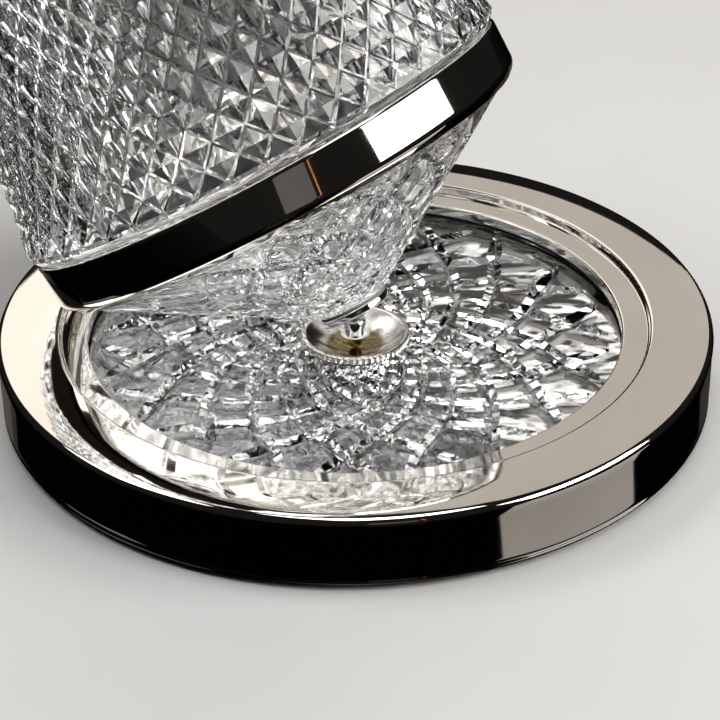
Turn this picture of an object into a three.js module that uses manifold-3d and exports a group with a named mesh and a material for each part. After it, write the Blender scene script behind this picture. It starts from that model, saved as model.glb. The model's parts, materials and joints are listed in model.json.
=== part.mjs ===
// A spinning-top decanter leaning on its round tray.
//
// The decanter is one cut-glass body with a cone underneath and a slightly tapered side above, joined
// by a polished waist band. Its foot holds a ball joint, and the ball stands on a short brass tip in a
// dished cup at the middle of the tray, so the decanter leans until its band meets the raised rim of
// the tray, and from there it rolls round the rim, spins on its own axis, or is lifted off.
//
// Millimetres, +Z up. The origin is the middle of the tray's underside. +X is to the right and -Y is
// the front. Heights in the tray are measured from the table. Heights in the decanter are measured
// along its own axis from the centre of the ball.

import * as THREE from "three";
import { mergeVertices } from "three/addons/utils/BufferGeometryUtils.js";
import Module from "manifold-3d";

// ---- Driving dimensions ------------------------------------------------------------------------

const GAP = 0.3; // between pieces that touch on the real object
const FINE = 40; // facets round the large turned pieces
const MEDIUM = 28; // round those the size of a coin or a neck
const COARSE = 16; // and round the small ones
const DRILLED = 12; // round a drilled hole
const LARGEST_DRILLED = 10;

const TRAY_RADIUS = 110;
const TRAY_TOP = 25.6; // inner edge of the broad rim, where the band comes to rest
const RIM_INNER_RADIUS = 90.6;
const LEDGE_RADIUS = 82; // inner edge of the narrow ledge below the rim
const LEDGE_TOP = 23;
const SHEET = 1.4; // thickness of the spun metal

// Pieces stacked inside the tray, from the table up.
const PAD_RADIUS = 102;
const PAD_TOP = 1.4;
const COVER_TOP = 3.2;
const BALLAST_TOP = 10.2;
const DECK_TOP = 12;
const BACKING_TOP = 13.1;
const PLATE_TOP = 18.4; // crystal plate
const SCREW_CIRCLE = 86;
const SCREW_COUNT = 4;
const STUD_RADIUS = 3; // clamps the cup to the deck

const CUP_RIM_RADIUS = 16.8;
const CUP_RIM_TOP = 21.6;
const CUP_BODY_RADIUS = 13.6;
const CUP_MOUTH_RADIUS = 15.3;
const CUP_DEPTH = 5.8;

const BALL_CENTRE = 30.3; // height of the ball joint above the table
const BALL_RADIUS = 3.8;
const LEAN = THREE.MathUtils.degToRad(33);
const LEAN_AZIMUTH = THREE.MathUtils.degToRad(147.5); // where the decanter leans, from +X

const FLANGE_RADIUS = 11.7;
const FLANGE_BOTTOM = -1.5;
const FLANGE_TOP = 1;
const HUB_RADIUS = 7.2;
const HUB_TOP = 5.3;

const CONE_START = { r: 11.6, z: 2.1 };
const CONE_END = { r: 74.9, z: 42.2 };
const WAIST_RADIUS = 76.4; // glass under the band
const BAND_RADIUS = 78.65;
const BAND_TOP = 58;
const SIDE_BOTTOM = { r: 79.8, z: 64 };
const SIDE_TOP = { r: 73.3, z: 138 };
const SHOULDER_WIDTH = 27; // of the rounding above the side
const SHOULDER_HEIGHT = 20;
const WALL = 5;

const NECK_RADIUS = 16.3;
const NECK_BORE = 12.5;
const NECK_TOP = 191;
const STOPPER_BASE = NECK_TOP + 2.4; // underside of the stopper's cap
const FINIAL_RADIUS = 22;
const FINIAL_CENTRE = STOPPER_BASE + 32.6;

// ---- Materials ---------------------------------------------------------------------------------

const metal = (color, roughness) => new THREE.MeshStandardMaterial({ color, roughness, metalness: 1 });
const dull = (color, roughness) => new THREE.MeshStandardMaterial({ color, roughness, metalness: 0 });

const NICKEL = metal(0xd8d3cc, 0.08);
const CHROME = metal(0xdfe2e6, 0.05);
const BRASS = metal(0xc9a24f, 0.2);
const STEEL = metal(0x8f9194, 0.4);
const BLACK_ENAMEL = dull(0x141312, 0.08);
const CAST_IRON = metal(0x4a4a4c, 0.7);
const CRYSTAL = new THREE.MeshStandardMaterial({
  color: 0xf2f4f5,
  roughness: 0.02,
  metalness: 0,
  transparent: true,
  opacity: 0.4,
});
const RUBBER = dull(0x2b2b2c, 0.8);
const SILICONE = dull(0xe6e6e2, 0.5);
const ACETAL = dull(0xf0efe9, 0.35);
const FELT = dull(0x1d1d1f, 0.95);
const CEMENT = dull(0xcfcac0, 0.7);

// ---- Shape helpers -----------------------------------------------------------------------------

// Points round an arc in the profile plane, angles in degrees from the radial direction.
function arc(r, z, radius, from, to, steps, radiusZ = radius) {
  return Array.from({ length: steps + 1 }, (_, i) => {
    const a = THREE.MathUtils.degToRad(from + ((to - from) * i) / steps);
    return [r + radius * Math.cos(a), z + radiusZ * Math.sin(a)];
  });
}

// A turned solid. The profile runs anticlockwise in (radius, height), outer side upwards. It either
// starts and ends on the axis, or is closed back to its first point.
function turned(profile, facets) {
  const points = profile.map(([r, z]) => new THREE.Vector2(r, z));
  const first = points[0];
  const last = points[points.length - 1];
  if (first.x > 0 || last.x > 0) points.push(first.clone());
  const geometry = new THREE.LatheGeometry(points, facets);
  geometry.rotateX(Math.PI / 2);
  return geometry;
}

// A flat ring, or a disc when the inner radius is 0.
function ring(inner, outer, bottom, top, facets) {
  return turned([[inner, bottom], [outer, bottom], [outer, top], [inner, top]], facets);
}

function circlePath(x, y, radius, facets) {
  const path = new THREE.Path();
  for (let i = 0; i <= facets; i++) {
    const a = (2 * Math.PI * i) / facets;
    const px = x + radius * Math.cos(a);
    const py = y + radius * Math.sin(a);
    if (i === 0) path.moveTo(px, py);
    else path.lineTo(px, py);
  }
  return path;
}

// A flat plate with round holes, each hole given as [x, y, radius].
function plate(outer, bottom, top, holes, facets) {
  const shape = new THREE.Shape(circlePath(0, 0, outer, facets).getPoints(1));
  for (const [x, y, radius] of holes) {
    const facets = radius > LARGEST_DRILLED ? MEDIUM : DRILLED;
    shape.holes.push(circlePath(x, y, radius, facets));
  }
  const geometry = new THREE.ExtrudeGeometry(shape, { depth: top - bottom, bevelEnabled: false });
  geometry.translate(0, 0, bottom);
  return geometry;
}

// Solids for cutting and joining.
const wasm = await Module();
wasm.setup();

function toSolid(geometry) {
  const bare = geometry.index ? geometry.toNonIndexed() : geometry.clone();
  bare.deleteAttribute("normal");
  bare.deleteAttribute("uv");
  const merged = mergeVertices(bare, 1e-4);
  return new wasm.Manifold(
    new wasm.Mesh({
      numProp: 3,
      vertProperties: new Float32Array(merged.attributes.position.array),
      triVerts: new Uint32Array(merged.index.array),
    }),
  );
}

function fromSolid(solid) {
  const mesh = solid.getMesh();
  const geometry = new THREE.BufferGeometry();
  geometry.setAttribute("position", new THREE.BufferAttribute(mesh.vertProperties, 3));
  geometry.setIndex(new THREE.BufferAttribute(mesh.triVerts, 1));
  const flat = geometry.toNonIndexed();
  flat.computeVertexNormals();
  return flat;
}

function cut(geometry, ...tools) {
  let solid = toSolid(geometry);
  for (const tool of tools) solid = solid.subtract(toSolid(tool));
  return fromSolid(solid);
}

function add(group, name, geometry, material) {
  const mesh = new THREE.Mesh(geometry, material);
  mesh.name = name;
  group.add(mesh);
  return mesh;
}

// ---- Tray --------------------------------------------------------------------------------------

const INNER_WALL_BOTTOM = PLATE_TOP + 1;
const RIM_UNDERSIDE = PLATE_TOP + 0.8; // of the cup

// Spun metal shell: side wall, broad sloping rim, a step down to the narrow ledge, and the short
// inner wall that frames the crystal plate.
function trayShell() {
  const outerSide = [
    [TRAY_RADIUS - 1.4, PAD_TOP],
    [TRAY_RADIUS - 0.7, PAD_TOP + 0.8],
    [TRAY_RADIUS - 0.9, PAD_TOP + 2],
    [TRAY_RADIUS - 0.3, TRAY_TOP - 5.5],
    ...arc(TRAY_RADIUS - 2.4, TRAY_TOP - 3.4, 2.4, 0, 75, 5),
  ];
  const rim = [
    [RIM_INNER_RADIUS + 9.6, TRAY_TOP - 0.35],
    [RIM_INNER_RADIUS + 0.8, TRAY_TOP],
    [RIM_INNER_RADIUS + 0.2, TRAY_TOP - 0.25],
    [RIM_INNER_RADIUS, TRAY_TOP - 0.8],
  ];
  const ledge = [
    [RIM_INNER_RADIUS - 0.5, LEDGE_TOP + 0.1],
    [LEDGE_RADIUS + 0.6, LEDGE_TOP],
    [LEDGE_RADIUS, LEDGE_TOP - 0.6],
    [LEDGE_RADIUS, INNER_WALL_BOTTOM],
  ];
  const underside = [
    [LEDGE_RADIUS + SHEET, INNER_WALL_BOTTOM],
    [LEDGE_RADIUS + SHEET, LEDGE_TOP - SHEET],
    [RIM_INNER_RADIUS + 0.6, LEDGE_TOP - SHEET],
    [RIM_INNER_RADIUS + 1.2, TRAY_TOP - SHEET],
    [TRAY_RADIUS - 3.2, TRAY_TOP - 1 - SHEET],
    [TRAY_RADIUS - 1.8, TRAY_TOP - 5],
    [TRAY_RADIUS - 2.5, PAD_TOP + 2],
    [TRAY_RADIUS - 2.5, PAD_TOP],
  ];
  return turned([...outerSide, ...rim, ...ledge, ...underside], FINE);
}

const screwPlaces = Array.from({ length: SCREW_COUNT }, (_, i) => {
  const a = (2 * Math.PI * (i + 0.5)) / SCREW_COUNT;
  return [SCREW_CIRCLE * Math.cos(a), SCREW_CIRCLE * Math.sin(a)];
});

// Countersunk screw, head down, running up into the ballast ring.
function coverScrew() {
  const head = PAD_TOP + GAP + 0.1;
  return turned([[0, head], [3.4, head], [1.7, head + 1.7], [1.7, 8], [0, 9]], 16);
}

function screwRecess(x, y) {
  const cone = [[0, PAD_TOP - 1], [5, PAD_TOP - 1], [2.1, PAD_TOP + 2.05]];
  return turned([...cone, [2.1, COVER_TOP + 1], [0, COVER_TOP + 1]], 16).translate(x, y, 0);
}

function coverPlate() {
  const disc = ring(0, TRAY_RADIUS - 3, PAD_TOP + GAP, COVER_TOP, FINE);
  return cut(disc, ...screwPlaces.map(([x, y]) => screwRecess(x, y)));
}

// Dished cup: a flat-based bowl with a thick rim that overhangs the hole in the crystal plate, and a
// threaded stud below it.
function pivotCup() {
  const dish = (CUP_MOUTH_RADIUS ** 2 + CUP_DEPTH ** 2) / (2 * CUP_DEPTH); // radius of the dish
  const mouthAngle = THREE.MathUtils.radToDeg(Math.asin(CUP_MOUTH_RADIUS / dish));
  const bowlBottom = CUP_RIM_TOP - CUP_DEPTH - 1.6;
  const inside = arc(0, CUP_RIM_TOP - CUP_DEPTH + dish, dish, mouthAngle - 90, -90, 7);
  inside[inside.length - 1][0] = 0;
  const outside = [
    [0, bowlBottom - 8],
    [STUD_RADIUS, bowlBottom - 8],
    [STUD_RADIUS, bowlBottom],
    [CUP_BODY_RADIUS - 3, bowlBottom],
    [CUP_BODY_RADIUS, bowlBottom + 3],
    [CUP_BODY_RADIUS, RIM_UNDERSIDE],
    [CUP_RIM_RADIUS - 0.2, RIM_UNDERSIDE],
    [CUP_RIM_RADIUS, RIM_UNDERSIDE + 0.3],
    [CUP_RIM_RADIUS, CUP_RIM_TOP - 0.4],
    [CUP_RIM_RADIUS - 0.5, CUP_RIM_TOP],
  ];
  return turned([...outside, ...inside], MEDIUM);
}

const WASHER_BOTTOM = BALLAST_TOP - 0.9;

function cupNut() {
  const corners = Array.from({ length: 6 }, (_, i) => {
    const a = (Math.PI * i) / 3;
    return new THREE.Vector2(6.4 * Math.cos(a), 6.4 * Math.sin(a));
  });
  const shape = new THREE.Shape(corners);
  shape.holes.push(circlePath(0, 0, STUD_RADIUS + GAP, COARSE));
  const geometry = new THREE.ExtrudeGeometry(shape, { depth: 2.6, bevelEnabled: false });
  return geometry.translate(0, 0, WASHER_BOTTOM - GAP - 2.6);
}

const holes = screwPlaces.map(([x, y]) => [x, y, 2.1]);
const studHole = STUD_RADIUS + GAP;
const cupHole = CUP_BODY_RADIUS + GAP;
const inTray = TRAY_RADIUS - 6;

const tray = new THREE.Group();
add(tray, "base_pad", ring(0, PAD_RADIUS, 0, PAD_TOP, FINE), FELT);
add(tray, "cover_plate", coverPlate(), STEEL);
for (const [i, [x, y]] of screwPlaces.entries()) {
  add(tray, `cover_screw_${i + 1}`, coverScrew(), STEEL).position.set(x, y, 0);
}
const ballast = plate(inTray, COVER_TOP + GAP, BALLAST_TOP, [[0, 0, 66], ...holes], MEDIUM);
add(tray, "ballast_ring", ballast, CAST_IRON);
add(tray, "deck_plate", ring(studHole, inTray, BALLAST_TOP + GAP, DECK_TOP, MEDIUM), STEEL);
add(tray, "backing_disc", ring(studHole, 88, DECK_TOP + GAP, BACKING_TOP, MEDIUM), BLACK_ENAMEL);
add(tray, "crystal_plate", ring(cupHole, 87, BACKING_TOP + GAP, PLATE_TOP, FINE), CRYSTAL);
add(tray, "plate_gasket", ring(82.2, 85, PLATE_TOP + 0.2, INNER_WALL_BOTTOM - 0.2, FINE), RUBBER);
add(tray, "tray_shell", trayShell(), NICKEL);
add(tray, "cup_gasket", ring(14, 16, PLATE_TOP + 0.2, RIM_UNDERSIDE - 0.2, MEDIUM), RUBBER);
add(tray, "pivot_cup", pivotCup(), NICKEL);
add(tray, "cup_washer", ring(studHole, 8, WASHER_BOTTOM, BALLAST_TOP, COARSE), STEEL);
add(tray, "cup_nut", cupNut(), STEEL);

// ---- Standing pivot ----------------------------------------------------------------------------
// It stays upright whatever the lean. Heights here are measured from the centre of the ball.

const TIP_BOTTOM = CUP_RIM_TOP - CUP_DEPTH + GAP - BALL_CENTRE;
const TIP_RADIUS = 2.15;
const BELL_BOTTOM = -9.4;
const BELL_TOP = -3.95;

function brassTip() {
  const end = arc(0, TIP_BOTTOM + TIP_RADIUS, TIP_RADIUS, -90, 0, 4);
  end[0][0] = 0;
  const shoulder = BELL_BOTTOM - 0.2;
  return turned([...end, [TIP_RADIUS, shoulder], [1.2, shoulder], [1.2, -7.3], [0, -7.3]], COARSE);
}

// Bell-shaped ferrule with a bore below for the tip's pin and a bore above for the ball's stem.
function ferrule() {
  return turned(
    [
      [0, -7.1],
      [1.5, -7.1],
      [1.5, BELL_BOTTOM],
      [4.5, BELL_BOTTOM],
      [4.65, BELL_BOTTOM + 0.4],
      [4.3, BELL_BOTTOM + 1.5],
      [3.7, BELL_BOTTOM + 3.6],
      [3.3, BELL_TOP - 0.55],
      [2.9, BELL_TOP - 0.15],
      [1.6, BELL_TOP],
      [1.6, -6.4],
      [0, -6.4],
    ],
    COARSE,
  );
}

function ballStud() {
  const stem = 1.3;
  const neck = THREE.MathUtils.radToDeg(Math.acos(stem / BALL_RADIUS));
  const ball = arc(0, 0, BALL_RADIUS, -neck, 90, 9);
  ball[ball.length - 1][0] = 0;
  return turned([[0, -6.1], [stem, -6.1], ...ball], COARSE);
}

const pivot = new THREE.Group();
pivot.position.z = BALL_CENTRE;
add(pivot, "brass_tip", brassTip(), BRASS);
add(pivot, "bell_ferrule", ferrule(), CHROME);
add(pivot, "ball_stud", ballStud(), STEEL);

// ---- Decanter ----------------------------------------------------------------------------------
// Built upright about the centre of the ball, then leaned as a whole.

const SOCKET_RADIUS = BALL_RADIUS + GAP;
const SEAT_RADIUS = 5.6;

// Foot disc with a hub. Its bore takes the ball's seat, and its bottom lip holds the ball.
function footFlange() {
  return turned(
    [
      [3.65, FLANGE_BOTTOM],
      [FLANGE_RADIUS - 0.5, FLANGE_BOTTOM],
      [FLANGE_RADIUS, FLANGE_BOTTOM + 0.5],
      [FLANGE_RADIUS, FLANGE_TOP - 0.4],
      [FLANGE_RADIUS - 0.4, FLANGE_TOP],
      [HUB_RADIUS, FLANGE_TOP],
      [HUB_RADIUS, HUB_TOP],
      [SEAT_RADIUS + 0.2, HUB_TOP],
      [SEAT_RADIUS + 0.2, -0.4],
      [SOCKET_RADIUS, -0.4],
    ],
    MEDIUM,
  );
}

// Plastic seat over the top half of the ball.
function ballSeat() {
  const hollow = arc(0, 0, SOCKET_RADIUS, 0, 90, 6);
  hollow[hollow.length - 1][0] = 0;
  const outside = [[0, HUB_TOP - 0.1], [SEAT_RADIUS, HUB_TOP - 0.1], [SEAT_RADIUS, -0.1]];
  return turned([...outside.reverse(), ...hollow.reverse()], COARSE);
}

// Side of the body, which draws in less and less towards the shoulder, and the shoulder's rounding.
function bodySide(inset) {
  const steps = 6;
  const side = Array.from({ length: steps }, (_, i) => {
    const t = i / steps;
    const r = SIDE_TOP.r + (SIDE_BOTTOM.r - SIDE_TOP.r) * (1 - t) ** 2;
    return [r - inset, SIDE_BOTTOM.z + (SIDE_TOP.z - SIDE_BOTTOM.z) * t];
  });
  const centre = SIDE_TOP.r - SHOULDER_WIDTH;
  const height = SHOULDER_HEIGHT - inset;
  return [...side, ...arc(centre, SIDE_TOP.z, SHOULDER_WIDTH - inset, 0, 78, 6, height)];
}

// Outline of the outside of the glass from the foot to the shoulder.
const outerGlass = [
  [0, HUB_TOP + 0.4],
  [HUB_RADIUS + 0.3, HUB_TOP + 0.4],
  [HUB_RADIUS + 0.3, FLANGE_TOP + 0.8],
  [FLANGE_RADIUS - 0.5, FLANGE_TOP + 0.8],
  [CONE_START.r, CONE_START.z],
  [CONE_END.r, CONE_END.z],
  [WAIST_RADIUS, CONE_END.z + 1.6],
  [WAIST_RADIUS, BAND_TOP - 0.2],
  [SIDE_BOTTOM.r - 1.6, BAND_TOP + 1.2],
  [SIDE_BOTTOM.r - 0.3, BAND_TOP + 3.4],
  ...bodySide(0),
];

const coneAngle = Math.atan2(CONE_END.z - CONE_START.z, CONE_END.r - CONE_START.r);
const wallR = -WALL * Math.sin(coneAngle); // step from the outside of the cone to the inside
const wallZ = WALL * Math.cos(coneAngle);
const innerFloor = 13;
const innerFloorRadius = CONE_START.r + wallR + (innerFloor - CONE_START.z - wallZ) / Math.tan(coneAngle);

function bottle() {
  const neck = [
    [21, NECK_TOP - 28.6],
    [18.6, NECK_TOP - 26.4],
    [17.1, NECK_TOP - 23.4],
    [NECK_RADIUS, NECK_TOP - 20],
    [NECK_RADIUS, NECK_TOP - 0.6],
    [NECK_RADIUS - 0.6, NECK_TOP],
    [NECK_BORE + 0.6, NECK_TOP],
    [NECK_BORE, NECK_TOP - 0.8],
    [NECK_BORE, NECK_TOP - 25],
    [13.6, NECK_TOP - 29.4],
    [16.6, NECK_TOP - 32.6],
  ];
  const inside = [
    ...bodySide(WALL).reverse(),
    [WAIST_RADIUS - WALL + 1, BAND_TOP],
    [WAIST_RADIUS - WALL, BAND_TOP - 3],
    [WAIST_RADIUS - WALL, CONE_END.z + wallZ + 1],
    [CONE_END.r + wallR - 2, CONE_END.z + wallZ - 2 * Math.tan(coneAngle)],
    [innerFloorRadius, innerFloor],
    [innerFloorRadius - 6, innerFloor - 1.6],
    [0, innerFloor - 2],
  ];
  return turned([...outerGlass, ...neck, ...inside], FINE);
}

// Pressed metal band: a lip that follows the cone, a rounded corner, a straight side and a thin top.
function waistBand() {
  return turned(
    [
      [CONE_END.r + 0.25, CONE_END.z - 0.2],
      [CONE_END.r + 0.75, CONE_END.z - 0.55],
      [BAND_RADIUS - 0.75, CONE_END.z + 1.6],
      [BAND_RADIUS - 0.3, CONE_END.z + 2.6],
      [BAND_RADIUS, BAND_TOP - 0.7],
      [BAND_RADIUS - 0.3, BAND_TOP],
      [WAIST_RADIUS + 1.2, BAND_TOP + 0.1],
      [WAIST_RADIUS + 0.9, BAND_TOP - 0.6],
      [WAIST_RADIUS + 0.9, CONE_END.z + 2.2],
    ],
    FINE,
  );
}

// Sleeve round the neck, turned in over the lip.
const COLLAR_BORE = NECK_RADIUS + 0.8;
function neckCollar() {
  return turned(
    [
      [COLLAR_BORE, NECK_TOP - 19],
      [18.2, NECK_TOP - 19],
      [18.6, NECK_TOP - 18.4],
      [18.2, NECK_TOP - 17.4],
      [18.2, NECK_TOP - 3],
      [19.4, NECK_TOP - 1.6],
      [19.4, NECK_TOP + 0.6],
      [18.2, NECK_TOP + 1.9],
      [NECK_BORE + 0.3, NECK_TOP + 1.9],
      [NECK_BORE + 0.3, NECK_TOP + GAP],
      [COLLAR_BORE, NECK_TOP + GAP],
    ],
    MEDIUM,
  );
}

const SEAL_HEIGHTS = [NECK_TOP - 13, NECK_TOP - 8, NECK_TOP - 3];
const SEAL_SECTION = 1;
const PLUG_RADIUS = 11;

function stopperPlug() {
  const groove = (z) => [
    [PLUG_RADIUS, z - 1.3],
    [PLUG_RADIUS - 1, z - 1.3],
    [PLUG_RADIUS - 1, z + 1.3],
    [PLUG_RADIUS, z + 1.3],
  ];
  const bottom = NECK_TOP - 16;
  const base = [[0, bottom], [PLUG_RADIUS - 1.4, bottom], [PLUG_RADIUS, bottom + 1.2]];
  const top = [[PLUG_RADIUS, STOPPER_BASE - 0.2], [0, STOPPER_BASE - 0.2]];
  return turned([...base, ...SEAL_HEIGHTS.flatMap(groove), ...top], COARSE);
}

function sealRing(z) {
  return turned(arc(PLUG_RADIUS + 0.25, z, SEAL_SECTION, 0, 300, 5), COARSE);
}

const ROD_RADIUS = 2;
const rodHole = ROD_RADIUS + GAP;
const finialFlat = FINIAL_RADIUS - 1.4; // from the centre to the ground flats above and below
const CAP_TOP = FINIAL_CENTRE - finialFlat - 1.8;

function stopperCap() {
  return turned(
    [
      [0, STOPPER_BASE],
      [17.6, STOPPER_BASE],
      [18.2, STOPPER_BASE + 0.6],
      [18.2, STOPPER_BASE + 4],
      [17, STOPPER_BASE + 5.2],
      [9, STOPPER_BASE + 6.6],
      [6, CAP_TOP - 1],
      [5.6, CAP_TOP],
      [rodHole, CAP_TOP],
      [rodHole, STOPPER_BASE + 2],
      [0, STOPPER_BASE + 2],
    ],
    MEDIUM,
  );
}

// Faceted crystal ball, ground flat above and below and drilled for the rod.
function crystalFinial() {
  const ball = new THREE.IcosahedronGeometry(FINIAL_RADIUS, 3).translate(0, 0, FINIAL_CENTRE);
  const above = ring(0, FINIAL_RADIUS, FINIAL_CENTRE + finialFlat, FINIAL_CENTRE + 30, COARSE);
  const below = ring(0, FINIAL_RADIUS, FINIAL_CENTRE - 30, FINIAL_CENTRE - finialFlat, COARSE);
  const hole = ring(0, rodHole, FINIAL_CENTRE - 30, FINIAL_CENTRE + 30, COARSE);
  return cut(ball, above, below, hole);
}

const BUTTON_BASE = FINIAL_CENTRE + finialFlat + GAP;
function finialButton() {
  const dome = arc(0, BUTTON_BASE + 1, 6, 0, 90, 4, 4);
  dome[dome.length - 1][0] = 0;
  const bore = [[0, BUTTON_BASE + 3], [rodHole, BUTTON_BASE + 3], [rodHole, BUTTON_BASE]];
  return turned([...bore, [5.6, BUTTON_BASE], ...dome], COARSE);
}

const decanter = new THREE.Group();
decanter.position.z = BALL_CENTRE;
const tiltAxis = new THREE.Vector3(-Math.sin(LEAN_AZIMUTH), Math.cos(LEAN_AZIMUTH), 0);
decanter.quaternion.setFromAxisAngle(tiltAxis, LEAN);

add(decanter, "ball_seat", ballSeat(), ACETAL);
add(decanter, "foot_flange", footFlange(), CHROME);
add(decanter, "foot_cement", ring(HUB_RADIUS + 0.4, 11, FLANGE_TOP + 0.2, FLANGE_TOP + 0.6, MEDIUM), CEMENT);
add(decanter, "glass_bottle", bottle(), CRYSTAL);
add(decanter, "band_liner", ring(WAIST_RADIUS + 0.2, WAIST_RADIUS + 0.7, 46, 56, FINE), SILICONE);
add(decanter, "waist_band", waistBand(), NICKEL);
const liner = ring(NECK_RADIUS + 0.2, NECK_RADIUS + 0.6, NECK_TOP - 17, NECK_TOP - 3, MEDIUM);
add(decanter, "collar_liner", liner, SILICONE);
add(decanter, "neck_collar", neckCollar(), NICKEL);

const stopper = new THREE.Group();
decanter.add(stopper);
add(stopper, "stopper_plug", stopperPlug(), ACETAL);
for (const [i, z] of SEAL_HEIGHTS.entries()) {
  add(stopper, `seal_ring_${i + 1}`, sealRing(z), SILICONE);
}
add(stopper, "stopper_cap", stopperCap(), NICKEL);
add(stopper, "finial_saucer", ring(rodHole, 9, CAP_TOP + 0.2, CAP_TOP + 1.5, COARSE), CHROME);
add(stopper, "crystal_finial", crystalFinial(), CRYSTAL);
add(stopper, "finial_rod", ring(0, ROD_RADIUS, STOPPER_BASE + 2.3, BUTTON_BASE + 2.7, 16), STEEL);
add(stopper, "finial_button", finialButton(), NICKEL);

const object = new THREE.Group();
object.add(tray, pivot, decanter);

export default object;
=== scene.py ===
"""Looks of the spinning-top decanter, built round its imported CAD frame.

Lengths in the outlines are millimetres. Heights in the tray are measured from the table. Heights in
the pivot and the decanter are measured from the centre of the ball, along the axis of the piece.
"""

import json
import math

import bmesh
import bpy
from mathutils import Matrix, Vector


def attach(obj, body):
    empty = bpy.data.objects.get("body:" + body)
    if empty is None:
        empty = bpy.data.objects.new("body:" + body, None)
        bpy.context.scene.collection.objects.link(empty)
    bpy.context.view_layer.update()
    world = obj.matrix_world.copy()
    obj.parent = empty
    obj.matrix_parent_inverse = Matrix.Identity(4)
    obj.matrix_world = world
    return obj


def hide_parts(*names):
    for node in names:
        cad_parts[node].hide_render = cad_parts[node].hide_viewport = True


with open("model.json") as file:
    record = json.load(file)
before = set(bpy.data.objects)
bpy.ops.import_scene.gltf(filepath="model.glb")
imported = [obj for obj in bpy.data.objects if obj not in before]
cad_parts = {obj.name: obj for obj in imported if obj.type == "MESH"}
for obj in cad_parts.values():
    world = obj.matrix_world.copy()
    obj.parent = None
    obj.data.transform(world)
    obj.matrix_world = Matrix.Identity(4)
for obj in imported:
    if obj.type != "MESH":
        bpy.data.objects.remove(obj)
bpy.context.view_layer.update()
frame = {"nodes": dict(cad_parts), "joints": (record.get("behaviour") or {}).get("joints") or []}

MM = 0.001

# ---- Places taken from the frame ---------------------------------------------------------------

spin = next(j for j in frame["joints"] if j["name"] == "decanter_spin")
BALL = Vector(spin["pos_m"])
AXIS = Vector(spin["axis"]).normalized()
LEAN = math.acos(AXIS.z)

ON_TABLE = Matrix.Identity(4)
ON_PIVOT = Matrix.Translation(BALL)
LEANING = ON_PIVOT @ Matrix.Rotation(LEAN, 4, Vector((-AXIS.y, AXIS.x, 0)))

# ---- Driving sizes, as in the CAD --------------------------------------------------------------

ROUND = 240  # facets round the large turned pieces
FINE_ROUND = 320  # round the tray's rim and the waist band
MIDDLE_ROUND = 192
SMALL_ROUND = 96
CREASE = math.radians(24)  # metal edges sharper than this stay sharp
CUT_CREASE = math.radians(7)  # and every edge of a cut facet does
PLATE_CREASE = math.radians(12)
RUN_OUT = 0.9  # half diamonds over which the grooves of a net run out

PLATE_BOTTOM = 13.4
PLATE_TOP = 18.4
PLATE_HOLE = 13.9
PLATE_RADIUS = 87

NET_CELLS = 18  # diamonds round the plate, and round the cone
NET_GROWTH = 0.17  # growth of the plate's radius, as a logarithm, in half a diamond
PLATE_NET_PHASE = 7.3  # degrees
GROOVE_SPREAD = 1.5  # half the width of a plate groove, for its depth
GROOVE_DEPTH = 0.36  # of a plate groove, carried on to the axis
GROOVE_DEEPENING = 0.019  # for each millimetre outwards
GROOVE_RUN = 0.95  # sideways run of a plate groove, for each millimetre outwards
GROOVE_TIP_RUN = 0.6
PYRAMID_CUT = [(0.16, 0.97), (1, 0)]  # profiles of a diamond, for cut_net
TABLE_CUT = [(0.05, 0.97), (0.4, 0), (0.7, 0), (1, 0)]

CONE_START = (11.6, 2.1)
CONE_END = (74.9, 42.2)
WAIST_RADIUS = 76.4
BAND_TOP = 58
SIDE_BOTTOM = (79.8, 64)
SIDE_TOP = (73.3, 138)
SHOULDER_WIDTH = 27
SHOULDER_HEIGHT = 20
WALL = 5
NECK_TOP = 191
STOPPER_BASE = NECK_TOP + 2.4
CAP_TOP = STOPPER_BASE + 10.2
FINIAL_RADIUS = 21.7
FINIAL_CENTRE = STOPPER_BASE + 32.6
FINIAL_FLAT = 20.6
ROD_BORE = 2.3


# ---- Shape helpers -----------------------------------------------------------------------------

def arc(r, z, radius, start, end, steps, radius_z=None):
    """Outline points round an arc, angles in degrees from the radial direction."""
    radius_z = radius if radius_z is None else radius_z
    angles = [math.radians(start + (end - start) * i / steps) for i in range(steps + 1)]
    return [(r + radius * math.cos(a), z + radius_z * math.sin(a)) for a in angles]


def softened(corners, steps=4):
    """An open outline of corners (radius, height, rounding), rounded where a rounding is given."""
    points = []
    for i, corner in enumerate(corners):
        here = Vector(corner[:2])
        rounding = corner[2] if len(corner) > 2 else 0
        if not rounding or i in (0, len(corners) - 1):
            points.append(tuple(here))
            continue
        before = here + (Vector(corners[i - 1][:2]) - here).normalized() * rounding
        after = here + (Vector(corners[i + 1][:2]) - here).normalized() * rounding
        for k in range(steps + 1):
            t = k / steps
            points.append(tuple(before * (1 - t) ** 2 + here * 2 * t * (1 - t) + after * t * t))
    return points


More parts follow.
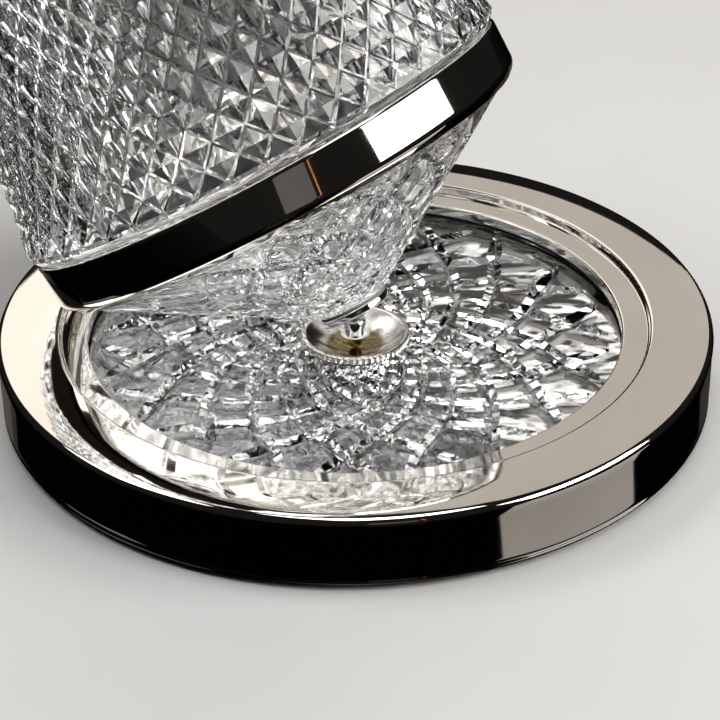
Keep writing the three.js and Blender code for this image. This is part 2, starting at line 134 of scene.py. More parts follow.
class Surface:
    """Points and faces of one piece, in millimetres, gathered ring by ring."""

    def __init__(self):
        self.points = []
        self.faces = []

    def point(self, position):
        self.points.append(tuple(position))
        return len(self.points) - 1

    def ring(self, radius, height, count, ribs=0, rib_depth=0):
        """Points round the axis, or one point on it. Ribs are rounded, with sharp valleys."""
        if radius == 0:
            return [self.point((0, 0, height))]
        ring = []
        for i in range(count):
            turn = 2 * math.pi * i / count
            r = radius - rib_depth * (1 - abs(math.cos(ribs * turn / 2)))
            ring.append(self.point((r * math.cos(turn), r * math.sin(turn), height)))
        return ring

    def bridge(self, a, b):
        """Faces between two rings that both start at angle 0, whatever their counts."""
        if len(a) == 1 or len(b) == 1:
            centre, rim = (a[0], b) if len(a) == 1 else (b[0], a)
            if len(rim) > 1:
                self.faces += [(centre, rim[i], rim[(i + 1) % len(rim)]) for i in range(len(rim))]
            return
        if len(a) == len(b):
            n = len(a)
            self.faces += [(a[i], a[(i + 1) % n], b[(i + 1) % n], b[i]) for i in range(n)]
            return
        i = j = 0
        while i < len(a) or j < len(b):
            if j == len(b) or (i < len(a) and (i + 1) / len(a) <= (j + 1) / len(b)):
                self.faces.append((a[i % len(a)], a[(i + 1) % len(a)], b[j % len(b)]))
                i += 1
            else:
                self.faces.append((a[i % len(a)], b[(j + 1) % len(b)], b[j % len(b)]))
                j += 1

    def run(self, outline, count=ROUND, start=None, ribs=0, rib_depth=0):
        """Turns an outline about the axis, joined to the ring start. Returns its two end rings."""
        rings = [self.ring(r, z, count, ribs, rib_depth) for r, z in outline]
        if start:
            self.bridge(start, rings[0])
        for a, b in zip(rings, rings[1:]):
            self.bridge(a, b)
        return rings[0], rings[-1]

    def piece(self, name, place=ON_TABLE, crease=CREASE):
        """The finished object, in metres in the row frame."""
        mesh = bpy.data.meshes.new(name)
        mesh.from_pydata([place @ (Vector(p) * MM) for p in self.points], [], self.faces)
        shape = bmesh.new()
        shape.from_mesh(mesh)
        bmesh.ops.recalc_face_normals(shape, faces=shape.faces)
        shape.to_mesh(mesh)
        shape.free()
        mesh.shade_smooth()
        mesh.set_sharp_from_angle(angle=crease)
        made = bpy.data.objects.new(name, mesh)
        bpy.context.scene.collection.objects.link(made)
        return made


def turned(name, outline, place=ON_TABLE, count=ROUND):
    """A turned piece. Its outline starts and ends on the axis, or closes on itself."""
    surface = Surface()
    first, last = surface.run(outline, count)
    if len(first) > 1 and len(last) > 1:
        surface.bridge(last, first)
    return surface.piece(name, place)


def cut_net(surface, cells, rows, place, depth, profile, split=1, flank=0.12):
    """Cuts a net of V grooves that cross and leave diamonds, as a cutting wheel does.

    cells is the number of diamonds round the piece, and rows the number of half diamonds up it.
    place(turn, row, depth) is a point under the surface and depth(row) the depth of a groove. The
    profile of a diamond is a list of (way from its edge to its middle, share of that depth), and
    split is the number of faces along its sides. Returns the plain edges below and above.
    """
    half_turn = math.pi / cells
    around = 2 * cells * split
    valleys = {}

    def sunk(step, row, share):
        return surface.point(place(step * half_turn, row, depth(row) * share))

    def valley(step, row):
        key = (round(step * split) % around, round(row * split))
        if key not in valleys:
            valleys[key] = sunk(step, row, 1)
        return valleys[key]

    def diamond(step, row):
        corners = [(step, row), (step + 1, row + 1), (step, row + 2), (step - 1, row + 1)]
        sides = []
        for (s0, r0), (s1, r1) in zip(corners, corners[1:] + corners[:1]):
            for k in range(split):
                sides.append((s0 + (s1 - s0) * k / split, r0 + (r1 - r0) * k / split))
        ring = [valley(s, r) for s, r in sides]
        for way, share in profile:
            if way == 1:
                inner = [sunk(step, row + 1, share)]
            else:
                inner = [
                    sunk(s + (step - s) * way, r + (row + 1 - r) * way, share) for s, r in sides
                ]
            surface.bridge(ring, inner)
            ring = inner

    for row in range(rows - 1):
        for cell in range(cells):
            diamond(2 * cell + row % 2, row)

    def edge(row_at, outwards):
        ring, rim = [], []
        for k in range(around):
            step = k / split
            row = row_at(abs(step % 2 - 1))
            ring.append(valley(step, row))
            rim.append(sunk(step, row + outwards * flank, 0))
        surface.bridge(ring, rim)
        return rim

    low = edge(lambda odd: 1 - odd, -1)
    if rows % 2 == 0:
        high = edge(lambda odd: rows - 1 + odd, 1)
    else:
        high = edge(lambda odd: rows - odd, 1)
    return low, high


def carve(piece, *tools):
    """Cuts the tools away from a piece, and removes them."""
    for tool in tools:
        cut = piece.modifiers.new("cut", "BOOLEAN")
        cut.operation = "DIFFERENCE"
        cut.solver = "MANIFOLD"
        cut.object = tool
    graph = bpy.context.evaluated_depsgraph_get()
    carved = bpy.data.meshes.new_from_object(piece.evaluated_get(graph))
    carved.materials.clear()
    piece.modifiers.clear()
    piece.data = carved
    for tool in tools:
        bpy.data.objects.remove(tool)


# ---- Crystal -----------------------------------------------------------------------------------

def groove_wheel(name, hand):
    """The glass that one family of the plate's spiral grooves takes away, hand being 1 or -1."""
    inner, crossing, tip = PLATE_HOLE - 1, 65.5, 78.3  # crossing is the outermost crossing's radius
    tip_sweep = 0.7  # half diamonds that a tip turns on past that crossing
    above, shallowest, steps = 0.4, 0.01, 70  # above is how far the tool stands out of the plate
    surface = Surface()
    for groove in range(NET_CELLS):
        start = math.radians(PLATE_NET_PHASE) + 2 * math.pi * groove / NET_CELLS
        ring = None
        for i in range(steps + 1):
            r = inner + (tip - inner) * i / steps
            depth = GROOVE_DEPTH + GROOVE_DEEPENING * r
            sweep = math.log(min(r, crossing) / crossing) / NET_GROWTH
            if r > crossing:
                left = (tip - r) / (tip - crossing)
                depth *= math.sqrt(1 - (1 - left) ** 2)
                sweep += tip_sweep * (1 - left)
            turn = start + hand * sweep * math.pi / NET_CELLS
            depth = max(depth, shallowest)
            half = (depth + above) * GROOVE_SPREAD
            heading = turn + hand * math.atan(GROOVE_RUN if r < crossing else GROOVE_TIP_RUN)
            across = Vector((-math.sin(heading), math.cos(heading), 0)) * half
            middle = Vector((r * math.cos(turn), r * math.sin(turn), PLATE_TOP + above))
            bottom = middle - Vector((0, 0, above + depth))
            section = [surface.point(p) for p in (middle - across, bottom, middle + across)]
            if ring:
                surface.bridge(ring, section)
            else:
                surface.faces.append(section)
            ring = section
        surface.faces.append(ring)
    return surface.piece(name)


def crystal_plate():
    """Flat plate cut with spiral grooves both ways, which run out in leaf-shaped tips."""
    outline = softened(
        [
            (PLATE_HOLE, PLATE_BOTTOM),
            (PLATE_HOLE, PLATE_TOP, 0.3),
            (PLATE_RADIUS, PLATE_TOP, 0.5),
            (PLATE_RADIUS, PLATE_BOTTOM, 0.5),
            (PLATE_RADIUS - 2, PLATE_BOTTOM),
        ]
    )
    plate = turned("cut_crystal_plate", outline)
    carve(plate, groove_wheel("right_grooves", 1), groove_wheel("left_grooves", -1))
    plate.data.shade_smooth()
    plate.data.set_sharp_from_angle(angle=PLATE_CREASE)
    return plate


def body_side(inset):
    """Outline of the side, which draws in less and less upwards, and of the shoulder's rounding."""
    steps, neck_turn = 30, 78  # degrees of the shoulder's rounding, up to the neck
    first = -0.03  # the outline starts this share of the rise below SIDE_BOTTOM
    reach = SIDE_BOTTOM[0] - SIDE_TOP[0]
    rise = SIDE_TOP[1] - SIDE_BOTTOM[1]
    side = []
    for i in range(steps):
        t = first + (1 - first) * i / steps
        side.append((SIDE_TOP[0] + reach * (1 - t) ** 2 - inset, SIDE_BOTTOM[1] + rise * t))
    centre = SIDE_TOP[0] - SHOULDER_WIDTH
    width, height = SHOULDER_WIDTH - inset, SHOULDER_HEIGHT - inset
    return side + arc(centre, SIDE_TOP[1], width, 0, neck_turn, steps, height)


def follow(outline, away):
    """The point on an outline this far along it, and the direction out of the surface there.

    Past the end of the outline its last stretch goes on.
    """
    for a, b in zip(outline, outline[1:]):
        here, ahead = Vector(a), Vector(b) - Vector(a)
        if away <= ahead.length or b is outline[-1]:
            break
        away -= ahead.length
    ahead.normalize()
    return here + ahead * away, Vector((ahead.y, -ahead.x))


def bottle_neck(start):
    """Outline from the shoulder over the mouth, and down inside to the hollow's shoulder."""
    return softened(
        [
            start,
            (21, NECK_TOP - 28.6, 3),
            (17.1, NECK_TOP - 23.4, 2),
            (16.3, NECK_TOP - 18, 2),
            (16.3, NECK_TOP, 0.6),
            (12.5, NECK_TOP, 0.6),
            (12.5, NECK_TOP - 25, 3),
            (13.6, NECK_TOP - 29.4, 1.5),
            (16.6, NECK_TOP - 32.6),
        ]
    )


def bottle_floor(start, slope):
    """Outline of the lower end of the hollow, a wall's thickness inside waist and cone."""
    wall_r = -WALL * math.sin(slope)
    wall_z = WALL * math.cos(slope)
    inner_corner = (CONE_END[0] + wall_r - 2, CONE_END[1] + wall_z - 2 * math.tan(slope))
    floor_height = 13
    floor_rise = floor_height - CONE_START[1] - wall_z
    floor_radius = CONE_START[0] + wall_r + floor_rise / math.tan(slope)
    return softened(
        [
            start,
            (WAIST_RADIUS - WALL + 1, BAND_TOP, 3),
            (WAIST_RADIUS - WALL, BAND_TOP - 3, 2),
            (WAIST_RADIUS - WALL, CONE_END[1] + wall_z + 1, 2),
            (*inner_corner, 1),
            (floor_radius, floor_height, 3),
            (floor_radius - 6, floor_height - 1.6, 3),
            (0, floor_height - 2),
        ]
    )


def glass_bottle():
    """The glass body: a cut cone, a plain waist under the band, a cut side and a plain neck."""
    slope = math.atan2(CONE_END[1] - CONE_START[1], CONE_END[0] - CONE_START[0])

    # The net on the cone grows outwards by the same factor, exp(cone_growth), in each half diamond.
    cone_rows, cone_outer, cone_growth = 10, 71.2, 0.176
    cone_phase = math.radians(12.4)

    def on_cone(turn, row, depth):
        turn += cone_phase
        r = cone_outer * math.exp(cone_growth * (row - cone_rows))
        z = CONE_START[1] + (r - CONE_START[0]) * math.tan(slope)
        r -= depth * math.sin(slope)
        return r * math.cos(turn), r * math.sin(turn), z + depth * math.cos(slope)

    def cone_depth(row):
        least, widening = 0.3, 1.6
        run_out = min(1, max(0.04, (cone_rows - row) / RUN_OUT))
        return (least + widening * math.exp(cone_growth * (row - cone_rows))) * run_out

    side_cells, side_rows, row_height = 45, 17, 6.3
    side_phase = math.radians(6)
    side_inset = 0.3  # keeps the smooth shoulder inside the CAD's faceted one
    side = body_side(side_inset)
    # Ways along the side to each row, which get closer where the shoulder draws in.
    stations = [0.0]
    while len(stations) <= side_rows:
        radius = follow(side, stations[-1])[0].x
        stations.append(stations[-1] + row_height * min(1, radius / SIDE_TOP[0]))

    def on_side(turn, row, depth):
        k = min(int(row + 1), side_rows) if row > 0 else 1
        away = stations[k - 1] + (stations[k] - stations[k - 1]) * (row - k + 1)
        point, outwards = follow(side, away)
        point -= outwards * depth
        turn += side_phase
        return point.x * math.cos(turn), point.x * math.sin(turn), point.y

    def side_depth(row):
        deepest, last_full_row, rows_to_nothing = 1.55, 14, 12
        shallower = 1 - max(0, row - last_full_row) / rows_to_nothing
        run_out = min(1, max(0.03, row / RUN_OUT), max(0.03, (side_rows - row) / RUN_OUT))
        return deepest * shallower * run_out

    surface = Surface()
    foot = [(0, 5.7), (7.5, 5.7), (7.5, 1.8), (11.2, 1.8), CONE_START]
    last = surface.run(foot)[1]
    low, high = cut_net(surface, NET_CELLS, cone_rows, on_cone, cone_depth, TABLE_CUT, 5)
    surface.bridge(last, low)
    waist = softened(
        [
            (73.2, CONE_END[1] - 1.7 * math.tan(slope)),
            CONE_END,
            (WAIST_RADIUS, CONE_END[1] + 1.6, 0.6),
            (WAIST_RADIUS, BAND_TOP - 0.2, 0.6),
            (SIDE_BOTTOM[0] - 1.6, BAND_TOP + 1, 0.7),
            (SIDE_BOTTOM[0] - 0.3, BAND_TOP + 3),
        ]
    )
    last = surface.run(waist, ROUND, high)[1]
    low, high = cut_net(surface, side_cells, side_rows, on_side, side_depth, PYRAMID_CUT)
    surface.bridge(last, low)
    net_top = on_side(0, side_rows, 0)[2]
    shoulder = [point for point in side if point[1] > net_top + 0.5]
    neck = bottle_neck(shoulder[-1])
    inside = body_side(WALL)[::-1]
    floor = bottle_floor(inside[-1], slope)
    surface.run(shoulder + neck[1:] + inside + floor[1:], ROUND, high)
    return surface.piece("cut_glass_bottle", LEANING, CUT_CREASE)


def crystal_finial():
    """Cut crystal ball of the stopper, ground flat above and below and drilled for the rod."""
    cells, rows, aspect = 14, 12, 1.1
    deepest = 1.3
    pitch = aspect * math.pi / cells

    def place(turn, row, depth):
        sine = math.tanh(pitch * (row - rows / 2))
        r = FINIAL_RADIUS - depth
        across = r * math.sqrt(1 - sine * sine)
        return across * math.cos(turn), across * math.sin(turn), FINIAL_CENTRE + r * sine

    def depth(row):
        return deepest / math.cosh(pitch * (row - rows / 2))

    surface = Surface()
    rim = math.sqrt(FINIAL_RADIUS ** 2 - FINIAL_FLAT ** 2)
    below = FINIAL_CENTRE - FINIAL_FLAT
    above = FINIAL_CENTRE + FINIAL_FLAT
    first, last = surface.run([(ROD_BORE, below), (rim, below)], SMALL_ROUND)
    low, high = cut_net(surface, cells, rows, place, depth, PYRAMID_CUT)
    surface.bridge(last, low)
    last = surface.run([(rim, above), (ROD_BORE, above)], SMALL_ROUND, high)[1]
    surface.bridge(last, first)
    return surface.piece("cut_crystal_finial", LEANING, CUT_CREASE)


# ---- Tray --------------------------------------------------------------------------------------

def tray_rim():
    """Spun shell of the tray: bead at the foot, straight side, rolled edge, broad rim and ledge."""
    side = softened(
        [
            (107.5, 1.4),
            (108.4, 1.4, 0.3),
            (109.35, 2.3, 0.8),
            (109.0, 3.5, 0.5),
            (109.2, 4.4, 0.6),
            (109.75, 20.2, 1),
        ],
        6,
    )
    rolled = arc(107.6, 22.2, 2.4, 5, 72, 14)
    top = softened(
        [
            rolled[-1],
            (100.2, 25.22, 1.2),
            (91.5, 25.6, 0.5),
            (90.7, 25.2, 0.35),
            (90.1, 23.1, 0.5),
            (82.4, 23, 0.5),
            (82, 22.4, 0.3),
            (82, 19.4, 0.3),
            (83.4, 19.4, 0.3),
            (83.4, 21.6),
            (91.2, 21.6),
            (91.8, 24.2),
            (106.8, 23.2),
            (108.2, 20.6),
            (107.5, 3.4),
        ],
        6,
    )
    return turned("spun_tray_rim", side + rolled + top[1:], ON_TABLE, FINE_ROUND)


def reeded_cup():
    """Dished cup with a reeded edge, clamped through the plate by its stud."""
    mouth, depth, top, edge = 15.3, 5.8, 21.6, 16.8
    dish = (mouth ** 2 + depth ** 2) / (2 * depth)
    start = math.degrees(math.asin(mouth / dish)) - 90
    count, reeds, reed_depth = 432, 54, 0.4
    stud = [(0, 6.2), (3, 6.2), (3, 14.2)]
    below = softened([*stud, (10.6, 14.2, 0.4), (13.6, 17.2, 0.4), (13.6, 19.2), (16.0, 19.2)])
    surface = Surface()
    last = surface.run(below, count)[1]
    reeded = [(edge - 0.15, 19.3), (edge, 19.5), (edge, 21.15), (edge - 0.1, 21.35)]
    last = surface.run(reeded, count, last, reeds, reed_depth)[1]
    lip = softened(
        [(edge - 0.45, 21.5), (edge - 0.6, top, 0.1), (mouth, top, 0.3), (mouth - 0.5, 21.2)]
    )
    lip_turn = 2.5  # degrees of the dish that the lip's rounding takes
    inside = arc(0, top - depth + dish, dish, start - lip_turn, -90, 22)
    inside[-1] = (0, top - depth)
    surface.run(lip + inside, count, last)
    return surface.piece("reeded_pivot_cup")


# ---- Pivot and foot ----------------------------------------------------------------------------

def brass_tip():
    """Round-ended tip that stands in the cup, with a stem up into the ferrule."""
    bottom, radius = -14.2, 2.15
    end = arc(0, bottom + radius, radius, -90, 0, 10)
    end[0] = (0, bottom)
    stem = softened([end[-1], (radius, -9.6, 0.25), (1.2, -9.6), (1.2, -7.3, 0.2), (0, -7.3)])
    return turned("turned_brass_tip", end + stem[1:], ON_PIVOT, SMALL_ROUND)


def bell_ferrule():
    """Small bell between the tip and the ball, hollow above and below."""
    outline = softened(
        [
            (0, -7.1),
            (1.5, -7.1),
            (1.5, -9.4),
            (4.45, -9.4, 0.15),
            (4.65, -9.05, 0.3),
            (4.3, -7.9, 0.8),
            (3.7, -5.8, 1),
            (3.3, -4.5, 0.4),
            (2.9, -4.05, 0.3),
            (1.6, -3.95),
            (1.6, -6.4),
            (0, -6.4),
        ]
    )
    return turned("bell_ferrule_turned", outline, ON_PIVOT, SMALL_ROUND)


def ball_stud():
    """Ball on a short stem, which stands in the ferrule."""
    radius, stem = 3.8, 1.3
    neck = math.degrees(math.acos(stem / radius))
    ball = arc(0, 0, radius, -neck, 90, 24)
    ball[-1] = (0, radius)
    return turned("ball_stud_turned", [(0, -6.1), (stem, -6.1), *ball], ON_PIVOT, SMALL_ROUND)


def foot_flange():
    """Foot disc with a rolled edge and the hub that holds the ball's seat."""
    outline = softened(
        [
            (3.65, -1.4),
            (4.3, -1.5, 0.2),
            (9.6, -1.5, 0.3),
            (9.9, -1.25, 0.2),
            (10.2, -1.5, 0.2),
            (11.7, -1.45, 0.7),
            (11.7, 0.98, 0.7),
            (7.2, 1),
            (7.2, 5.3),
            (5.8, 5.3),
            (5.8, -0.4),
            (4.1, -0.4),
        ]
    )
    return turned("foot_flange_turned", outline, LEANING, MIDDLE_ROUND)


# ---- Metal of the decanter and stopper ---------------------------------------------------------

def waist_band():
    """Pressed band: a lip that follows the cone, a rounded corner, a straight side, a thin top."""
    outline = softened(
        [
            (77.3, 45),
            (77.3, 44.4),
            (75.15, 42),
            (75.65, 41.65, 0.3),
            (77.8, 43.75, 0.8),
            (78.38, 45.2, 0.9),
            (78.62, 57.2, 0.4),
            (78.3, 57.98, 0.3),
            (77.6, 58.08, 0.2),
            (77.3, 57.4),
        ],
        6,
    )
    return turned("pressed_waist_band", outline, LEANING, FINE_ROUND)


def band_liner():
    """Plain ring between the glass and the waist band."""
    outline = [(76.6, 46), (77.1, 46), (77.1, 56), (76.6, 56)]
    return turned("band_liner_ring", outline, LEANING, ROUND)


def neck_collar():
    """Sleeve round the neck, with a small foot bead and a rounded lip turned in over the glass."""
    outline = softened(
        [
            (17.1, NECK_TOP - 18.6),
            (17.3, NECK_TOP - 19, 0.15),
            (18.1, NECK_TOP - 19, 0.3),
            (18.6, NECK_TOP - 18.3, 0.5),
            (18.15, NECK_TOP - 17.4, 0.3),
            (18.15, NECK_TOP - 3, 0.6),
            (19.4, NECK_TOP - 1.7, 0.7),
            (19.4, NECK_TOP + 0.7, 0.7),
            (18.2, NECK_TOP + 1.9, 0.5),
            (12.8, NECK_TOP + 1.9, 0.2),
            (12.8, NECK_TOP + 0.3),
            (17.1, NECK_TOP + 0.3),
        ],
        5,
    )
    return turned("turned_neck_collar", outline, LEANING, MIDDLE_ROUND)


def stopper_cap():
    """Cap of the stopper, with a reeded grip and a stem that rises to the finial."""
    count, reeds, reed_depth = 360, 60, 0.35
    edge, base = 18.15, STOPPER_BASE
    surface = Surface()
    under = softened([(0, base), (17.4, base, 0.2), (17.6, base + 0.2)])
    last = surface.run(under, count)[1]
    chamfer = edge - 0.2
    grip = [(chamfer, base + 0.6), (edge, base + 0.9), (edge, base + 3.6), (chamfer, base + 4)]
    last = surface.run(grip, count, last, reeds, reed_depth)[1]
    upper = softened(
        [
            (17.4, base + 4.3),
            (16.9, base + 5.2, 0.5),
            (9, base + 6.6, 3),
            (6, CAP_TOP - 1, 1),
            (5.6, CAP_TOP, 0.2),
            (ROD_BORE, CAP_TOP),
            (ROD_BORE, base + 2),
            (0, base + 2),
        ],
        6,
    )
    surface.run(upper, count, last)
    return surface.piece("reeded_stopper_cap", LEANING)


def finial_saucer():
    """Small flared dish under the crystal finial."""
    low, high = CAP_TOP + 0.2, CAP_TOP + 1.5
    edge = [(7.5, low, 0.6), (8.9, low + 0.7, 0.4), (8.4, high, 0.3)]
    outline = softened([(ROD_BORE, low), *edge, (ROD_BORE, high)], 5)
    return turned("turned_finial_saucer", outline, LEANING, SMALL_ROUND)


def finial_button():
    """Domed nut on top of the finial, with a blind bore for the rod."""
    base, radius = FINIAL_CENTRE + FINIAL_FLAT + 0.3, 5.95
    dome = arc(0, base + 1, radius, 0, 90, 14, 3.95)
    dome[-1] = (0, base + 4.95)
    skirt = softened([(ROD_BORE, base), (5.5, base, 0.2), (radius, base + 1)])
    outline = [(0, base + 3), (ROD_BORE, base + 3), *skirt, *dome[1:]]
    return turned("turned_finial_button", outline, LEANING, SMALL_ROUND)


# ---- Materials ---------------------------------------------------------------------------------

class Shader:
    """A material and short calls for its nodes. Its textures follow the piece's own axis."""

    def __init__(self, name, place=ON_TABLE):
        self.material = bpy.data.materials.new(name)
        self.material.use_nodes = True
        self.tree = self.material.node_tree
        self.surface = self.tree.nodes["Principled BSDF"]
        coordinates = self.node("ShaderNodeTexCoord").outputs["Object"]
        back = place.inverted()
        mapping = self.node("ShaderNodeMapping")
        mapping.inputs["Location"].default_value = back.translation
        mapping.inputs["Rotation"].default_value = back.to_euler()
        self.link(coordinates, mapping.inputs["Vector"])
        self.position = mapping.outputs["Vector"]

    def node(self, kind):
        return self.tree.nodes.new(kind)

    def link(self, source, target):
        self.tree.links.new(source, target)

    def set(self, **values):
        """Sets or links inputs of the surface, an underscore standing for a space in a name."""
        for name, value in values.items():
            socket = self.surface.inputs[name.replace("_", " ")]
            if hasattr(value, "is_output"):
                self.link(value, socket)
            else:
                socket.default_value = value

    def noise(self, scale, detail=3, roughness=0.55):
        texture = self.node("ShaderNodeTexNoise")
        texture.inputs["Scale"].default_value = scale
        texture.inputs["Detail"].default_value = detail
        texture.inputs["Roughness"].default_value = roughness
        self.link(self.position, texture.inputs["Vector"])
        return texture.outputs["Fac"]

    def distance_from(self, point):
        """Distance from a point, in metres."""
        distance = self.node("ShaderNodeVectorMath")
        distance.operation = "DISTANCE"
        distance.inputs[1].default_value = point
        self.link(self.position, distance.inputs[0])
        return distance.outputs["Value"]

    def product(self, a, b):
        product = self.node("ShaderNodeMath")
        product.operation = "MULTIPLY"
        self.link(a, product.inputs[0])
        self.link(b, product.inputs[1])
        return product.outputs["Value"]

    def from_axis(self):
        """Distance from the piece's axis, in metres."""
        flat = self.node("ShaderNodeVectorMath")
        flat.operation = "MULTIPLY"
        flat.inputs[1].default_value = (1, 1, 0)
        self.link(self.position, flat.inputs[0])
        length = self.node("ShaderNodeVectorMath")
        length.operation = "LENGTH"
        self.link(flat.outputs["Vector"], length.inputs[0])
        return length.outputs["Value"]

    def turning_lines(self, per_metre):
        """Noise that changes only with the distance from the axis, as marks of a lathe do."""
        texture = self.node("ShaderNodeTexNoise")
        texture.noise_dimensions = "1D"
        texture.inputs["Scale"].default_value = per_metre
        texture.inputs["Detail"].default_value = 4
        self.link(self.from_axis(), texture.inputs["W"])
        return texture.outputs["Fac"]

    def ranged(self, value, low, high, start=0.3, end=0.7):
        """The value, from start to end, spread over low to high."""
        scale = self.node("ShaderNodeMapRange")
        ends = {"From Min": start, "From Max": end, "To Min": low, "To Max": high}
        for name, number in ends.items():
            scale.inputs[name].default_value = number
        self.link(value, scale.inputs["Value"])
        return scale.outputs["Result"]

    def blend(self, factor, dark, light):
        """Dark where the factor is 0, light where it is 1. Either is a colour or a socket."""
        mix = self.node("ShaderNodeMix")
        mix.data_type = "RGBA"
        self.link(factor, mix.inputs["Factor"])
        for name, colour in (("A", dark), ("B", light)):
            if hasattr(colour, "is_output"):
                self.link(colour, mix.inputs[name])
            else:
                mix.inputs[name].default_value = (*colour, 1)
        return mix.outputs["Result"]

    def bump(self, height, millimetres, strength=1.0, under=None):
        """Normals of a relief this high, on top of those of the relief under it."""
        bump = self.node("ShaderNodeBump")
        bump.inputs["Distance"].default_value = millimetres * MM
        bump.inputs["Strength"].default_value = strength
        self.link(height, bump.inputs["Height"])
        if under is not None:
            self.link(under, bump.inputs["Normal"])
        return bump.outputs["Normal"]


def crystal(name, place, waves, wave_height):
    """Clear lead crystal whose cuts are softened by acid polishing, with faint wheel marks left."""
    shader = Shader(name, place)
    wave = shader.bump(shader.noise(waves, 1), wave_height)
    polish = shader.bump(shader.noise(900, 3), 0.01, 0.4, wave)
    tint = shader.ranged(shader.noise(25), 0, 1)
    shader.set(
        Base_Color=shader.blend(tint, (0.955, 0.965, 0.965), (1, 1, 1)),
        Roughness=shader.ranged(shader.noise(120), 0.0, 0.025),
        IOR=1.56,
        Transmission_Weight=1.0,
        Normal=polish,
    )
    return shader.material


def dish_with_painted_reflection(name):
    """Nickel, satin in the dish and polished on the rim, with a dark gold disc in the middle that
    is a painted reflection of the brass tip and the dark flange above it.
    """
    shader = Shader(name)
    shade = shader.ranged(shader.noise(60), 0, 1)
    # Painted reflection: inside this radius the dish is coloured dark gold, standing for the
    # mirrored brass tip and dark flange above.
    outside_painted_reflection = shader.ranged(shader.from_axis(), 0, 1, PAINTED_REFLECTION_RADIUS - 0.0012, PAINTED_REFLECTION_RADIUS)
    satin = shader.ranged(shader.from_axis(), 0.17, 0.04, SATIN_RADIUS, SATIN_RADIUS + 0.0004)
    nickel = shader.blend(shade, NICKEL_DARK, NICKEL_LIGHT)
    # brass here is the dark gold of the painted reflection, not a metal of the dish.
    brass = shader.blend(shade, PAINTED_REFLECTION_DARK, PAINTED_REFLECTION_LIGHT)
    shader.set(
        Base_Color=shader.blend(outside_painted_reflection, brass, nickel),
        Metallic=1.0,
        Roughness=shader.product(satin, shader.ranged(outside_painted_reflection, 0.45, 1, 0, 1)),
        Normal=shader.bump(shader.turning_lines(1200), 0.001, 0.5),
    )
    return shader.material


def polished(name, place, dark, light, roughness):
    """Mirror-polished metal with faint marks of the lathe and a little handling haze."""
    shader = Shader(name, place)
    hairlines = shader.bump(shader.turning_lines(2600), 0.004, 0.5)
    dents = shader.bump(shader.noise(38, 1), 0.015, 1, hairlines)
    haze = shader.ranged(shader.noise(45, 5, 0.65), roughness * 0.6, roughness * 1.7)
    shader.set(
        Base_Color=shader.blend(shader.ranged(shader.noise(30), 0, 1), dark, light),
        Metallic=1.0,
        Roughness=haze,
        Normal=dents,
    )
    return shader.material


def satin_metal(name, dark, light, roughness, grain, depth):
    """Plated or cast metal with a grain."""
    shader = Shader(name)
    speckle = shader.noise(grain, 6, 0.7)
    shader.set(
        Base_Color=shader.blend(shader.ranged(speckle, 0, 1), dark, light),
        Metallic=1.0,
        Roughness=shader.ranged(shader.noise(grain / 8), roughness * 0.8, min(1, roughness * 1.2)),
        Normal=shader.bump(speckle, depth, 0.6),
    )
    return shader.material


def moulded(name, dark, light, roughness, grain, depth, ior=1.5):
    """Rubber, plastic, cement, enamel or felt, with its own grain."""
    shader = Shader(name)
    speckle = shader.noise(grain, 5, 0.65)
    smudges = shader.noise(grain / 6)
    shader.set(
        Base_Color=shader.blend(shader.ranged(speckle, 0, 1), dark, light),
        Roughness=shader.ranged(smudges, roughness * 0.85, min(1, roughness * 1.15)),
        Normal=shader.bump(speckle, depth, 0.7),
        IOR=ior,
    )
    return shader.material


NICKEL_DARK = (0.72, 0.69, 0.645)
NICKEL_LIGHT = (0.8, 0.77, 0.725)
CHROME_DARK = (0.76, 0.77, 0.785)
CHROME_LIGHT = (0.83, 0.84, 0.855)
BRASS_DARK = (0.56, 0.38, 0.15)
BRASS_LIGHT = (0.83, 0.63, 0.3)
# Dark gold of the painted reflection of the brass tip and the flange, in the middle of the dish.
PAINTED_REFLECTION_DARK = (0.17, 0.13, 0.06)
PAINTED_REFLECTION_LIGHT = (0.36, 0.28, 0.15)
PAINTED_REFLECTION_RADIUS = 0.0094  # metres, radius of the painted reflection in the middle of the dish
SATIN_RADIUS = 0.0152  # metres, where the polished edge of the dish starts

tray_crystal = crystal("tray_crystal", ON_TABLE, 110, 0.2)
decanter_crystal = crystal("decanter_crystal", LEANING, 90, 0.14)
tray_nickel = polished("tray_nickel", ON_TABLE, NICKEL_DARK, NICKEL_LIGHT, 0.035)
cup_nickel = dish_with_painted_reflection("cup_nickel")
decanter_nickel = polished("decanter_nickel", LEANING, NICKEL_DARK, NICKEL_LIGHT, 0.035)
pivot_chrome = polished("pivot_chrome", ON_PIVOT, CHROME_DARK, CHROME_LIGHT, 0.03)
foot_chrome = polished("foot_chrome", LEANING, CHROME_DARK, CHROME_LIGHT, 0.03)
tip_brass = polished("tip_brass", ON_PIVOT, BRASS_DARK, BRASS_LIGHT, 0.14)
zinc_steel = satin_metal("zinc_steel", (0.42, 0.43, 0.45), (0.62, 0.63, 0.64), 0.34, 900, 0.02)
cast_iron = satin_metal("cast_iron", (0.05, 0.05, 0.055), (0.13, 0.13, 0.135), 0.6, 500, 0.25)
black_rubber = moulded("black_rubber", (0.012, 0.012, 0.013), (0.03, 0.03, 0.031), 0.65, 1500, 0.03)
black_enamel = moulded(
    "black_enamel", (0.005, 0.005, 0.005), (0.016, 0.015, 0.014), 0.03, 300, 0.002, 2.4
)
silicone = moulded("silicone", (0.62, 0.62, 0.6), (0.78, 0.78, 0.76), 0.4, 700, 0.015)
acetal = moulded("acetal", (0.72, 0.71, 0.67), (0.83, 0.82, 0.79), 0.3, 900, 0.01)
cement = moulded("cement", (0.45, 0.43, 0.4), (0.66, 0.64, 0.59), 0.6, 1300, 0.06)
